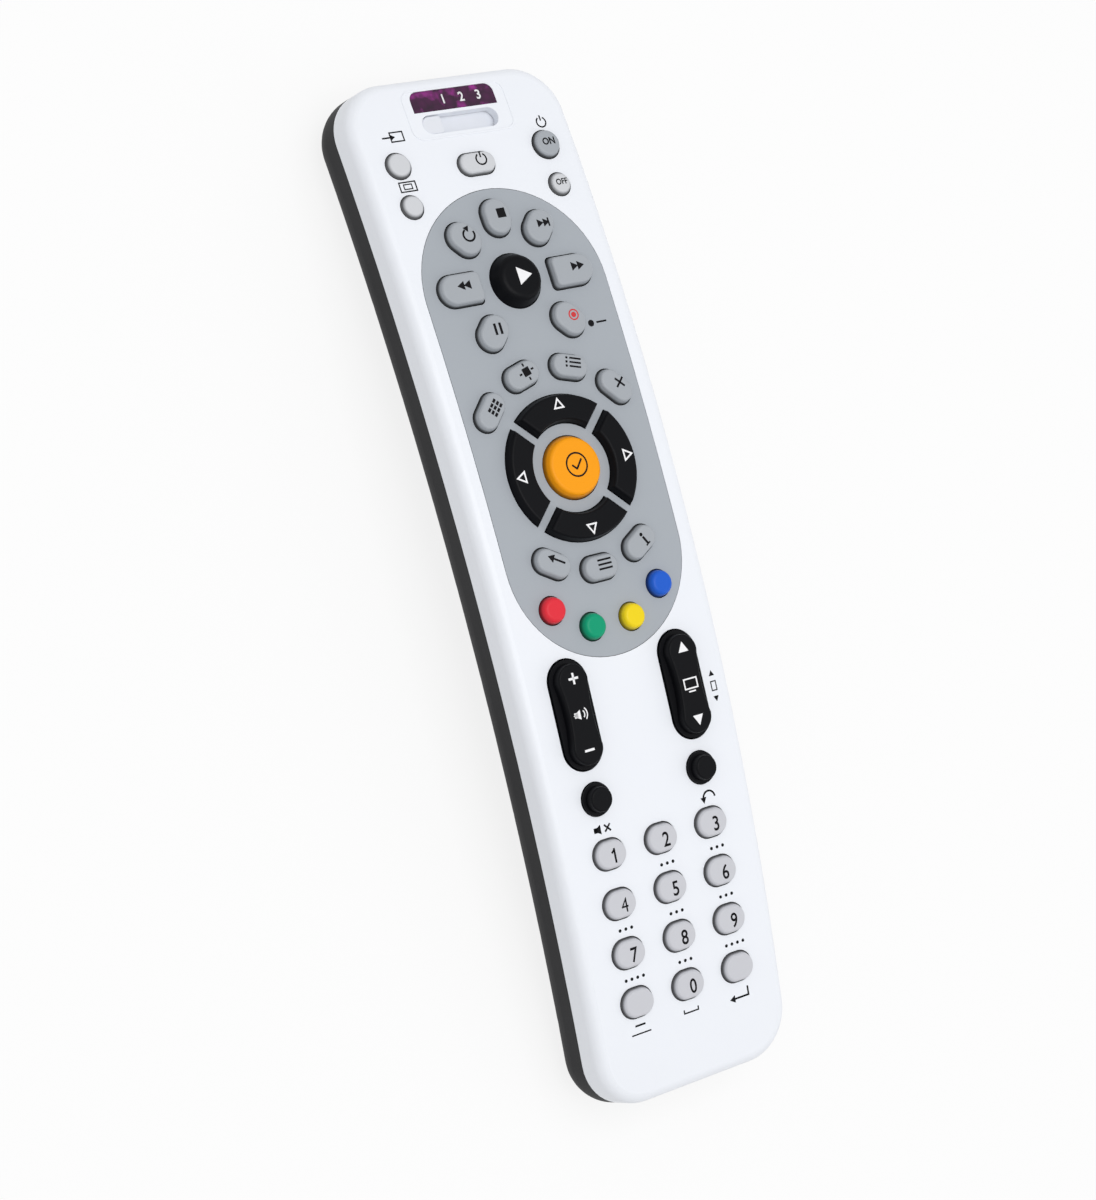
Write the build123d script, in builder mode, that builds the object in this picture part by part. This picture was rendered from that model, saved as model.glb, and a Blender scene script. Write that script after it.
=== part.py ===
from build123d import *
import math
import os

# Handheld universal remote control, millimetres, lying on its back.
# +Y points to the emitter end, +Z out of the keys, and z = 0 is the table.
# The whole body is bowed: the face is part of a long cylinder about an axis along X,
# and every place on it is given as x across and "along", the length measured on the face.

# Casing
body_length = 221.0
body_height = 28.0
face_radius = 602.0
emitter_half_width = 27.2
middle_half_width = 26.7
near_half_width = 24.7
plan_corner_radius = 11.0
top_edge_radius = 2.4
parting_depth = 6.7
side_depth = 18.9
lower_edge_radius = 8.0
inner_edge_radius = 6.0
wall = 2.0
seam_gap = 0.1
seat_gap = 0.05
end_rise_length = 8.5
end_rise_bulge = 1.6
belly_half_width = 14.5
belly_flare_degrees = 30
belly_top_height = 12.0
overrun = 5.0

# Key travel and clearances
key_clearance = 0.18
rocker_clearance = 0.35
key_travel = 1.0
flange_gap = 0.3
flange_thickness = 0.8
flange_reach = 0.7
segment_flange_reach = 0.5
rocker_flange_gap = 1.05
rocker_flange_reach = 0.4
post_radius = 1.6
bump_radius = 2.2
press_gap = 0.15

# Face panel and navigation ring
nav_along = 22.5
panel_top_rise = 39.3
panel_bottom_drop = 18.3
panel_top_radius = 22.6
panel_bottom_radius = 22.1
panel_gap = 0.12
panel_flange_reach = 0.8
panel_flange_thickness = 0.9
nav_outer_radius = 16.0
nav_inner_radius = 9.5
spoke_width = 1.7
select_radius = 7.0
ring_reach = 21.8
ring_key_length = 9.5
ring_key_width = 6.1

# Playback keys stand on a ring round the play key
play_rise = 41.3
play_radius = 6.2
playback_reach = 14.1
playback_key_length = 9.0
playback_key_width = 7.2
seek_key_length = 11.0
seek_key_width = 7.6
seek_corner_radius = 1.2

# Keys at the emitter end, placed by their distance from it
side_key_spacing = 18.7
upper_row_gap = 18.1
lower_row_gap = 27.4
input_radius = 3.1
on_radius = 3.45
small_round_radius = 2.8
power_key_gap = 20.1
power_key_length = 9.5
power_key_width = 5.5

# Coloured keys
colour_radius = 3.15
outer_colour_reach = 16.9
inner_colour_reach = 15.9

# Rockers and the two round black keys
rocker_spacing = 14.2
rocker_drop = 50.2
rocker_length = 24.0
rocker_width = 10.0
rocker_cap_inset = 0.8
rocker_waist = 0.7
black_key_spacing = 13.7
black_key_drop = 68.3
black_key_radius = 3.7
black_cap_inset = 0.7
skirt_height = 0.6

# Number keys, their first row placed by its distance from the near end
number_column_pitch = 13.3
number_row_pitch = 10.65
number_first_gap = 52.8
number_key_length = 8.4
number_key_width = 6.8

# Heights of the keys over the face
panel_key_height = 1.8
number_key_height = 1.4
small_key_height = 1.0
on_key_height = 1.3
segment_height = 1.8
select_height = 2.0
colour_height = 1.9
play_height = 2.9
black_height = 2.6
key_edge_radius = 0.6
key_draft = 0.5
play_draft = 1.3
play_edge_radius = 1.5
select_draft = 0.8
select_edge_radius = 0.9
colour_edge_radius = 0.9
black_draft = 0.25
black_edge_radius = 0.4

# Mode window and slide switch, placed by their distance from the emitter end
window_gap = 4.7
window_length = 21.0
window_width = 4.8
window_corner_radius = 2.0
window_thickness = 1.2
window_ledge = 0.8
slot_gap = 10.0
slot_length = 19.0
slot_width = 4.4
knob_length = 5.0
knob_side_clearance = 0.15
knob_corner_radius = 0.6
knob_sink = 0.3
mode_pitch = 4.2
mode_steps = 3
shutter_overlap = 0.6
shutter_thickness = 0.7
shutter_gap = 0.25

# Board, mat and components
board_top_height = 14.3
board_thickness = 1.2
board_half_width = 21.5
board_near_gap = 7.5
board_emitter_gap = 4.5
board_corner_radius = 5.0
mat_half_width = 21.0
mat_thickness = 0.8
mat_end_gap = 14.0
bump_height = 0.8
chip_size = 7.0
chip_height = 0.9
chip_along = 62.0
chip_across = 12.5
lamp_spacing = 4.5
lamp_length = 2.0
lamp_width = 1.25
lamp_height = 0.8
led_radius = 1.5
led_recess = 0.3
led_clearance = 0.15
led_dome_share = 0.9
switch_length = 20.0
switch_width = 4.4
switch_groove_length = 17.5
switch_groove_width = 1.9
switch_groove_depth = 1.0
switch_lever_width = 1.4
switch_height = 1.4

# Battery bay
cell_radius = 5.25
cell_length = 44.5
cell_clearance = 0.25
cell_rest_gap = 0.1
cell_nub_radius = 1.9
cell_nub_length = 0.8
bay_middle = -22.0
spring_length = 5.0
contact_thickness = 0.4
bay_wall = 1.2
bay_ceiling = 0.6
cover_thickness = 1.4
cover_recess = 0.2
cover_gap = 0.15
cover_ledge = 1.0
cover_rib_depth = 0.5
cover_rib_count = 7
cover_rib_pitch = 2.0
cover_rib_length = 14.0
spring_wire_radius = 0.35
spring_coil_radius = 3.2
spring_turns = 4

# Screws
screw_radius = 1.1
screw_head_radius = 2.2
screw_head_height = 1.6
screw_engagement = 3.2
screw_clearance = 0.15
head_sink = 3.6
post_wall = 1.4
near_screw_across = 17.0
near_screw_gap = 10.5
upper_screw_across = 21.6
upper_screw_gap = 33.9
board_notch = 0.5
drive_slot_width = 0.6
drive_slot_length = 2.6
drive_slot_depth = 0.7

centre_height = body_height - face_radius
half_length = body_length / 2

# What belongs to an end keeps its distance from it. A rise or drop is counted from the ring's middle
emitter_rise = half_length - nav_along
window_rise = emitter_rise - window_gap
slot_rise = emitter_rise - slot_gap
upper_row_rise = emitter_rise - upper_row_gap
lower_row_rise = emitter_rise - lower_row_gap
power_rise = emitter_rise - power_key_gap
number_first_drop = half_length + nav_along - number_first_gap
board_near_end = half_length - board_near_gap
board_emitter_end = half_length - board_emitter_gap
mat_half_length = half_length - mat_end_gap
near_screw_place = half_length - near_screw_gap
upper_screw_place = half_length - upper_screw_gap
os.makedirs("parts", exist_ok=True)


def finish(piece, name):
    """Label a finished piece and write its STEP file."""
    piece.label = name
    export_step(piece, "parts/" + name + ".step")
    return piece


def tilt_at(along):
    """Angle of the face's normal from +Z at a length along the face, in radians."""
    return along / face_radius


def face_plane(across, along, depth=0):
    """Plane that touches the bowed face, or lies a depth under it."""
    tilt = tilt_at(along)
    radius = face_radius - depth
    place = (across, radius * math.sin(tilt), centre_height + radius * math.cos(tilt))
    return Plane(origin=place, x_dir=(1, 0, 0), z_dir=(0, math.sin(tilt), math.cos(tilt)))


def height_under_face(place, depth):
    """Height of the layer at a depth under the face, over a straight distance along Y."""
    return centre_height + math.sqrt((face_radius - depth) ** 2 - place ** 2)


def plan_outline(inset):
    """The casing seen from above: long bowed sides, straight ends, round corners."""
    near = (near_half_width, -half_length)
    near_mirrored = (-near_half_width, -half_length)
    far = (emitter_half_width, half_length)
    far_mirrored = (-emitter_half_width, half_length)
    with BuildSketch(Plane.XY) as plan:
        with BuildLine():
            ThreePointArc(near, (middle_half_width, 0), far)
            Line(far, far_mirrored)
            ThreePointArc(far_mirrored, (-middle_half_width, 0), near_mirrored)
            Line(near_mirrored, near)
        make_face()
        fillet(plan.vertices(), radius=plan_corner_radius)
        if inset:
            offset(amount=-inset, mode=Mode.REPLACE)
    return plan.sketch


def bowed_layer(inset, top_depth, bottom_depth):
    """The plan cut to the layer between two depths under the face."""
    plan = plan_outline(inset)
    with BuildPart() as layer:
        add(plan)
        extrude(amount=body_height + overrun, both=True)
        with BuildSketch(Plane.YZ):
            with Locations((0, centre_height)):
                Circle(face_radius - top_depth)
                Circle(face_radius - bottom_depth, mode=Mode.SUBTRACT)
            Rectangle(body_length + 2 * overrun, 2 * (body_height + overrun), mode=Mode.INTERSECT)
        extrude(amount=body_length, both=True, mode=Mode.INTERSECT)
    return layer.part


def bowed_faces(piece):
    """The lower and the upper bowed face of a layer: its two largest faces."""
    return piece.faces().sort_by(SortBy.AREA)[-2:].sort_by(Axis.Z)


def rounded_layer(inset, top_depth, bottom_depth, top_radius=0, bottom_radius=0):
    """A bowed layer with its rim rounded above or below."""
    block = bowed_layer(inset, top_depth, bottom_depth)
    with BuildPart() as layer:
        add(block)
        if top_radius:
            fillet(bowed_faces(layer.part)[1].edges(), radius=top_radius)
        if bottom_radius:
            fillet(bowed_faces(layer.part)[0].edges(), radius=bottom_radius)
    return layer.part


def belly_block(inset):
    """The fuller middle of the back: a bar with a flat bottom and flared sides."""
    flare = math.tan(math.radians(belly_flare_degrees))
    low = belly_half_width - inset
    high = low + (belly_top_height - inset) * flare
    with BuildPart() as belly:
        with BuildSketch(Plane.XZ):
            with BuildLine():
                Polyline((-low, inset), (low, inset), (high, belly_top_height),
                         (-high, belly_top_height), close=True)
            make_face()
        extrude(amount=half_length - end_rise_length - inset, both=True)
    return belly.part


def end_rise(inset):
    """What is cut away under both ends, where the back rises to the seam."""
    seam_end = height_under_face(half_length, parting_depth) + inset
    start = half_length - end_rise_length - inset
    end = half_length - inset
    with BuildPart() as rise:
        with BuildSketch(Plane.YZ):
            for side in (1, -1):
                with BuildLine():
                    middle_out = (start + end) / 2 + end_rise_bulge
                    middle_up = (seam_end + inset) / 2 - end_rise_bulge
                    ThreePointArc((side * start, inset), (side * middle_out, middle_up),
                                  (side * end, seam_end))
                    Polyline((side * end, seam_end), (side * (half_length + overrun), seam_end),
                             (side * (half_length + overrun), -overrun), (side * start, -overrun),
                             (side * start, inset))
                make_face()
        extrude(amount=body_length, both=True)
    return rise.part


def slot_shape(length, width, angle, grow=0):
    """A key with round ends."""
    with BuildSketch() as shape:
        SlotOverall(length + 2 * grow, width + 2 * grow, rotation=angle)
    return shape.sketch


def round_shape(radius, grow=0):
    """A round key."""
    with BuildSketch() as shape:
        Circle(radius + grow)
    return shape.sketch


def seek_shape(side, grow=0):
    """A key with a round end on the side away from the play key and a square end beside it."""
    length = seek_key_length + 2 * grow
    width = seek_key_width + 2 * grow
    straight = length - width / 2
    with BuildSketch() as shape:
        with Locations((side * (straight - length) / 2, 0)):
            Rectangle(straight, width)
        fillet(shape.vertices().group_by(Axis.X)[0 if side > 0 else -1], radius=seek_corner_radius)
        with Locations((side * (length - width) / 2, 0)):
            Circle(width / 2)
    return shape.sketch


def segment_shape(angle, grow=0):
    """A quarter of the navigation ring between two spokes, with its middle at an angle."""
    apex = (spoke_width / 2 - grow) * math.sqrt(2)
    reach = 2 * nav_outer_radius
    with BuildSketch() as shape:
        Circle(nav_outer_radius + grow)
        Circle(nav_inner_radius - grow, mode=Mode.SUBTRACT)
        with BuildLine():
            Polyline((apex, 0), (apex + reach, reach), (apex + reach, -reach), close=True)
        make_face(mode=Mode.INTERSECT)
    return shape.sketch.rotate(Axis.Z, angle)


def rocker_cap_shape(grow=0):
    """The raised cap of a rocker: round ends and a slight waist."""
    half_width = rocker_width / 2 - rocker_cap_inset + grow
    half_straight = rocker_length / 2 - rocker_cap_inset + grow - half_width
    waist = half_width - rocker_waist
    tip = half_straight + half_width
    with BuildSketch() as shape:
        with BuildLine():
            ThreePointArc((-half_width, half_straight), (0, tip), (half_width, half_straight))
            ThreePointArc((half_width, half_straight), (waist, 0), (half_width, -half_straight))
            ThreePointArc((half_width, -half_straight), (0, -tip), (-half_width, -half_straight))
            ThreePointArc((-half_width, -half_straight), (-waist, 0), (-half_width, half_straight))
        make_face()
    return shape.sketch


def black_cap_shape(grow=0):
    """The raised cap of a round black key."""
    return round_shape(black_key_radius - black_cap_inset, grow)


def panel_shape(grow=0):
    """The face panel's outline: the hull of two circles, drawn about the navigation ring."""
    with BuildSketch() as shape:
        with Locations((0, panel_top_rise)):
            Circle(panel_top_radius + grow)
        with Locations((0, -panel_bottom_drop)):
            Circle(panel_bottom_radius + grow)
        make_hull()
    return shape.sketch


def window_shape(grow=0):
    """The mode window: square corners beside the slot and round ones away from it."""
    with BuildSketch() as shape:
        Rectangle(window_length + 2 * grow, window_width + 2 * grow)
        fillet(shape.vertices().group_by(Axis.Y)[-1], radius=window_corner_radius + grow)
    return shape.sketch


def through_cut(outline, plane, low_depth=wall + overrun, high_depth=-overrun):
    """A prism of an outline between two depths under a plane on the face."""
    with BuildPart() as cut:
        with BuildSketch(plane.offset(-low_depth)):
            add(outline)
        extrude(amount=low_depth - high_depth)
    return cut.part


def post_depth(along, post_rise=0):
    """Depth under a key's plane that a post reaches, just clear of its bump on the mat.

    A post away from the key's middle starts lower or higher, because the plane is tilted.
    """
    tilt = tilt_at(along)
    bump_top = board_top_height + mat_thickness + bump_height
    target = bump_top + key_travel + press_gap + post_radius * abs(math.sin(tilt))
    post_height = centre_height + face_radius * math.cos(tilt) - post_rise * math.sin(tilt)
    return (post_height - target) / math.cos(tilt)


class Key:
    """One key: its outline, its place on the face, its height and its shape over the face."""

    def __init__(self, name, shape, across, rise, height, **options):
        self.name = name
        self.shape = shape
        self.across = across
        self.along = nav_along + rise
        self.height = height
        self.draft = options.get("draft", key_draft)
        self.edge = options.get("edge", key_edge_radius)
        self.clearance = options.get("clearance", key_clearance)
        self.reach = options.get("reach", flange_reach)
        self.gap = options.get("gap", flange_gap)
        self.cap = options.get("cap")
        self.posts = options.get("posts", [(0, 0)])

    def plane(self, depth=0):
        return face_plane(self.across, self.along, depth)

    def solid(self):
        """Neck through the hole, cap over the face, flange under it and posts down to the mat."""
        flange_top = wall + self.gap
        flange_bottom = flange_top + flange_thickness
        skirt = skirt_height if self.cap else 0
        cap = self.cap or self.shape
        neck_outline = self.shape(-self.clearance)
        cap_low = cap(-self.clearance)
        cap_high = cap(-self.clearance - self.draft)
        flange_outline = self.shape(self.reach)
        upward = Axis((0, 0, 0), self.plane().z_dir)
        with BuildPart() as key:
            with BuildSketch(self.plane(flange_top)):
                add(neck_outline)
            extrude(amount=flange_top + skirt)
            with BuildSketch(self.plane(-skirt)):
                add(cap_low)
            with BuildSketch(self.plane(-self.height)):
                add(cap_high)
            loft()
            fillet(key.faces().sort_by(upward)[-1].edges(), radius=self.edge)
            with BuildSketch(self.plane(flange_bottom)):
                add(flange_outline)
            extrude(amount=flange_thickness)
            for post_across, post_rise in self.posts:
                with BuildSketch(self.plane(flange_bottom)):
                    with Locations((post_across, post_rise)):
                        Circle(post_radius)
                extrude(amount=flange_bottom - post_depth(self.along, post_rise))
        return key.part


def ring_place(reach, angle):
    """Across and rise of a place on a ring round the navigation ring's middle."""
    return reach * math.cos(math.radians(angle)), reach * math.sin(math.radians(angle))


def slot_key(name, length, width, angle, across, rise, height):
    return Key(name, lambda grow: slot_shape(length, width, angle, grow), across, rise, height)


def round_key(name, radius, across, rise, height, **options):
    return Key(name, lambda grow: round_shape(radius, grow), across, rise, height, **options)


shell_keys = [
    round_key("key_input", input_radius, -side_key_spacing, upper_row_rise, small_key_height),
    round_key("key_on", on_radius, side_key_spacing, upper_row_rise, on_key_height),
    round_key("key_format", small_round_radius, -side_key_spacing, lower_row_rise, small_key_height),
    round_key("key_off", small_round_radius, side_key_spacing, lower_row_rise, small_key_height),
    slot_key("key_power", power_key_length, power_key_width, 0, 0, power_rise, on_key_height),
]
for side, rocker_name in ((-1, "volume_rocker"), (1, "channel_rocker")):
    rocker_post_place = rocker_length / 2 - rocker_width / 2
    shell_keys.append(Key(
        rocker_name, lambda grow: slot_shape(rocker_length, rocker_width, 90, grow),
        side * rocker_spacing, -rocker_drop, black_height, cap=rocker_cap_shape, draft=black_draft,
        edge=black_edge_radius, clearance=rocker_clearance, gap=rocker_flange_gap,
        reach=rocker_flange_reach, posts=[(0, rocker_post_place), (0, -rocker_post_place)]))
for side, black_name in ((-1, "key_mute"), (1, "key_previous")):
    shell_keys.append(round_key(
        black_name, black_key_radius, side * black_key_spacing, -black_key_drop, black_height,
        cap=black_cap_shape, draft=black_draft, edge=black_edge_radius))
number_names = [["key_1", "key_2", "key_3"], ["key_4", "key_5", "key_6"],
                ["key_7", "key_8", "key_9"], ["key_dash", "key_0", "key_enter"]]
for row, names in enumerate(number_names):
    for column, number_name in enumerate(names):
        shell_keys.append(slot_key(
            number_name, number_key_length, number_key_width, 0, (column - 1) * number_column_pitch,
            -number_first_drop - row * number_row_pitch, number_key_height))

panel_keys = [
    round_key("key_play", play_radius, 0, play_rise, play_height, draft=play_draft, edge=play_edge_radius),
    round_key("key_select", select_radius, 0, 0, select_height, draft=select_draft, edge=select_edge_radius),
]
playback_angles = {"key_stop": 90, "key_replay": 132, "key_skip": 48, "key_pause": 227, "key_record": 313}
for playback_name, angle in playback_angles.items():
    across, rise = ring_place(playback_reach, angle)
    panel_keys.append(slot_key(playback_name, playback_key_length, playback_key_width, angle,
                               across, play_rise + rise, panel_key_height))
for side, seek_name in ((-1, "key_rewind"), (1, "key_forward")):
    panel_keys.append(Key(seek_name, lambda grow, side=side: seek_shape(side, grow),
                          side * playback_reach, play_rise, panel_key_height))
ring_angles = {"key_guide": 137, "key_active": 106, "key_list": 74, "key_exit": 43,
               "key_back": 239, "key_menu": 270, "key_info": 301}
for ring_name, angle in ring_angles.items():
    across, rise = ring_place(ring_reach, angle)
    panel_keys.append(slot_key(ring_name, ring_key_length, ring_key_width, angle + 90, across, rise,
                               panel_key_height))
for segment_name, angle in (("key_right", 0), ("key_up", 90), ("key_left", 180), ("key_down", 270)):
    segment_post = ring_place((nav_outer_radius + nav_inner_radius) / 2, angle)
    panel_keys.append(Key(segment_name, lambda grow, angle=angle: segment_shape(angle, grow), 0, 0,
                          segment_height, reach=segment_flange_reach, posts=[segment_post]))
colour_places = {"key_red": (outer_colour_reach, 215.4), "key_green": (inner_colour_reach, 251.5),
                 "key_yellow": (inner_colour_reach, 288.5), "key_blue": (outer_colour_reach, 324.6)}
for colour_name, (reach, angle) in colour_places.items():
    across, rise = ring_place(reach, angle)
    panel_keys.append(round_key(colour_name, colour_radius, across, rise - panel_bottom_drop, colour_height,
                                edge=colour_edge_radius))

# Places shared by several pieces
nav_plane = face_plane(0, nav_along)
window_plane = face_plane(0, nav_along + window_rise)
slot_along = nav_along + slot_rise
slot_plane = face_plane(0, slot_along)
cell_height = cover_recess + cover_thickness + cell_rest_gap + cell_radius
cell_across = cell_radius + cell_clearance / 2
bay_half_width = 2 * cell_radius + cell_clearance
bay_length = cell_length + cell_nub_length + spring_length + 2 * contact_thickness
bay_top = cell_height + cell_radius + cell_clearance
board_bottom_height = board_top_height - board_thickness
led_height = board_top_height - board_thickness / 2
near_screws = [(-near_screw_across, -near_screw_place), (near_screw_across, -near_screw_place)]
upper_screws = [(-upper_screw_across, upper_screw_place), (upper_screw_across, upper_screw_place)]
post_outer_radius = screw_radius + post_wall
boss_outer_radius = screw_head_radius + screw_clearance + bay_wall


def head_seat(place):
    """Height of the shoulder that a screw's head bears on."""
    return height_under_face(place, side_depth) + head_sink


# Upper shell
upper_core = rounded_layer(0, 0, parting_depth, top_radius=top_edge_radius)
upper_cavity = bowed_layer(wall, wall, parting_depth + overrun)
with BuildPart() as upper_shell:
    add(upper_core)
    add(upper_cavity, mode=Mode.SUBTRACT)
    for posts, post_bottom in ((near_screws, board_top_height + seat_gap),
                               (upper_screws, board_bottom_height)):
        with BuildSketch(Plane.XY.offset(post_bottom)):
            with Locations(*posts):
                Circle(post_outer_radius)
        extrude(amount=height_under_face(posts[0][1], wall / 2) - post_bottom)
        with BuildSketch(Plane.XY.offset(post_bottom)):
            with Locations(*posts):
                Circle(screw_radius + seat_gap)
        extrude(amount=screw_engagement + seat_gap, mode=Mode.SUBTRACT)
    add(through_cut(panel_shape(panel_gap), nav_plane), mode=Mode.SUBTRACT)
    for key in shell_keys:
        add(through_cut(key.shape(0), key.plane()), mode=Mode.SUBTRACT)
    add(through_cut(slot_shape(slot_length, slot_width, 0), slot_plane), mode=Mode.SUBTRACT)
    add(through_cut(window_shape(0), window_plane, low_depth=window_thickness + seat_gap), mode=Mode.SUBTRACT)
    add(through_cut(window_shape(-window_ledge), window_plane), mode=Mode.SUBTRACT)
    with BuildSketch(Plane.XZ.offset(-half_length)):
        with Locations((0, led_height)):
            Circle(led_radius + led_clearance)
    extrude(amount=2 * wall, both=True, mode=Mode.SUBTRACT)
finish(upper_shell.part, "upper_shell")

# Face panel
panel_skin = bowed_layer(0, 0, wall + seat_gap)
panel_rim = bowed_layer(0, wall + seat_gap, wall + seat_gap + panel_flange_thickness)
panel_prism = through_cut(panel_shape(0), nav_plane, low_depth=body_height)
flange_prism = through_cut(panel_shape(panel_flange_reach), nav_plane, low_depth=body_height)
flange_hollow = through_cut(panel_shape(-panel_flange_reach), nav_plane, low_depth=body_height)
with BuildPart() as panel_flange:
    add(panel_rim)
    add(flange_prism, mode=Mode.INTERSECT)
    add(flange_hollow, mode=Mode.SUBTRACT)
with BuildPart() as face_panel:
    add(panel_skin)
    add(panel_prism, mode=Mode.INTERSECT)
    add(panel_flange.part)
    for key in panel_keys:
        add(through_cut(key.shape(0), key.plane()), mode=Mode.SUBTRACT)
finish(face_panel.part, "face_panel")

# Lower shell
lower_core = rounded_layer(0, parting_depth + seam_gap, side_depth, bottom_radius=lower_edge_radius)
lower_cavity = rounded_layer(wall, wall, side_depth - wall, bottom_radius=inner_edge_radius)
outer_belly = belly_block(0)
inner_belly = belly_block(wall)
outer_rise = end_rise(0)
inner_rise = end_rise(wall)
boss_limit = rounded_layer(0, wall, side_depth, bottom_radius=lower_edge_radius)
with BuildPart() as lower_hollow:
    add(lower_cavity)
    add(inner_belly)
    add(inner_rise, mode=Mode.SUBTRACT)
with BuildPart() as screw_bosses:
    for bosses, place in ((near_screws, near_screw_place), (upper_screws, upper_screw_place)):
        boss_bottom = height_under_face(place, side_depth - wall / 2)
        with BuildSketch(Plane.XY.offset(boss_bottom)):
            with Locations(*bosses):
                Circle(boss_outer_radius)
        extrude(amount=board_bottom_height - seat_gap - boss_bottom)
    add(boss_limit, mode=Mode.INTERSECT)
    add(outer_rise, mode=Mode.SUBTRACT)
with BuildPart() as lower_shell:
    add(lower_core)
    add(outer_belly)
    add(outer_rise, mode=Mode.SUBTRACT)
    add(lower_hollow.part, mode=Mode.SUBTRACT)
    with BuildSketch(Plane.XY.offset(wall / 2)):
        with Locations((0, bay_middle)):
            Rectangle(2 * (bay_half_width + bay_wall), bay_length + 2 * bay_wall)
    extrude(amount=bay_top + bay_ceiling - wall / 2)
    with BuildSketch(Plane.XY.offset(-overrun)):
        with Locations((0, bay_middle)):
            Rectangle(2 * bay_half_width, bay_length)
    extrude(amount=bay_top + overrun, mode=Mode.SUBTRACT)
    with BuildSketch(Plane.XY.offset(-overrun)):
        with Locations((0, bay_middle)):
            Rectangle(2 * (bay_half_width + cover_ledge), bay_length + 2 * cover_ledge)
    extrude(amount=cover_recess + cover_thickness + seat_gap + overrun, mode=Mode.SUBTRACT)
    add(screw_bosses.part)
    for bosses, place in ((near_screws, near_screw_place), (upper_screws, upper_screw_place)):
        with BuildSketch(Plane.XY.offset(-overrun)):
            with Locations(*bosses):
                Circle(screw_head_radius + screw_clearance)
        extrude(amount=head_seat(place) + overrun, mode=Mode.SUBTRACT)
        with BuildSketch(Plane.XY):
            with Locations(*bosses):
                Circle(screw_radius + screw_clearance)
        extrude(amount=body_height / 2, mode=Mode.SUBTRACT)
finish(lower_shell.part, "lower_shell")

# Screws: two solids at each end
with BuildPart() as housing_screws:
    near_tip = board_top_height + seat_gap + screw_engagement
    upper_tip = board_bottom_height + screw_engagement
    for places, place, tip in ((near_screws, near_screw_place, near_tip),
                               (upper_screws, upper_screw_place, upper_tip)):
        seat = head_seat(place) - seat_gap
        with BuildSketch(Plane.XY.offset(seat - screw_head_height)):
            with Locations(*places):
                Circle(screw_head_radius)
        extrude(amount=screw_head_height)
        with BuildSketch(Plane.XY.offset(seat)):
            with Locations(*places):
                Circle(screw_radius)
        extrude(amount=tip - seat_gap - seat)
        for turn in (0, 90):
            with BuildSketch(Plane.XY.offset(seat - screw_head_height)):
                with Locations(*places):
                    Rectangle(drive_slot_length, drive_slot_width, rotation=turn)
            extrude(amount=drive_slot_depth, mode=Mode.SUBTRACT)
finish(housing_screws.part, "housing_screws")

# Keys
for key in shell_keys + panel_keys:
    finish(key.solid(), key.name)

# Mode window
window_outline = window_shape(-seat_gap)
window_top = bowed_layer(0, 0, wall)
window_prism = through_cut(window_outline, window_plane, low_depth=window_thickness)
with BuildPart() as mode_window:
    add(window_top)
    add(window_prism, mode=Mode.INTERSECT)
finish(mode_window.part, "mode_window")

# Slide switch knob with the shutter plate that closes the slot behind it
knob_place = (knob_length - slot_length) / 2
mode_travel = mode_pitch * mode_steps
shutter_low = -slot_length / 2 - shutter_overlap - mode_travel
shutter_high = slot_length / 2 + shutter_overlap
knob_width = slot_width - 2 * knob_side_clearance
lever_bottom = switch_height - switch_groove_depth / 2
shutter_top = wall + shutter_gap
lever_reach = (height_under_face(slot_along, 0) - board_top_height - lever_bottom)
with BuildSketch() as knob_shape:
    with Locations((knob_place + knob_side_clearance + knob_width / 4, 0)):
        Rectangle(knob_length - knob_side_clearance - knob_width / 2, knob_width)
    fillet(knob_shape.vertices().group_by(Axis.X)[-1], radius=knob_corner_radius)
    with Locations((knob_place - knob_length / 2 + knob_side_clearance + knob_width / 2, 0)):
        Circle(knob_width / 2)
with BuildPart() as mode_slider:
    with BuildSketch(slot_plane.offset(-shutter_top)):
        add(knob_shape.sketch)
    extrude(amount=shutter_top - knob_sink)
    knob_top = mode_slider.faces().sort_by(Axis((0, 0, 0), slot_plane.z_dir))[-1]
    fillet(knob_top.edges(), radius=knob_sink)
    with BuildSketch(slot_plane.offset(-shutter_top - shutter_thickness)):
        with Locations(((shutter_low + shutter_high) / 2, 0)):
            Rectangle(shutter_high - shutter_low, slot_width + 2 * shutter_overlap)
    extrude(amount=shutter_thickness)
    with BuildSketch(slot_plane.offset(-shutter_top - shutter_thickness)):
        with Locations((knob_place, 0)):
            Rectangle(switch_lever_width, switch_lever_width)
    extrude(amount=shutter_top + shutter_thickness - lever_reach)
finish(mode_slider.part, "mode_slider")

# Circuit board
with BuildPart() as circuit_board:
    with BuildSketch(Plane.XY.offset(board_bottom_height)):
        with Locations((0, (board_emitter_end - board_near_end) / 2)):
            RectangleRounded(2 * board_half_width, board_near_end + board_emitter_end, board_corner_radius)
        with Locations(*upper_screws):
            Circle(boss_outer_radius + board_notch, mode=Mode.SUBTRACT)
        with Locations(*near_screws):
            Circle(screw_radius + screw_clearance, mode=Mode.SUBTRACT)
    extrude(amount=board_thickness)
finish(circuit_board.part, "circuit_board")

# Controller chip, on the board's underside
with BuildPart() as controller_chip:
    with BuildSketch(Plane.XY.offset(board_bottom_height - seat_gap - chip_height)):
        with Locations((chip_across, chip_along)):
            Rectangle(chip_size, chip_size)
    extrude(amount=chip_height)
finish(controller_chip.part, "controller_chip")

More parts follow.
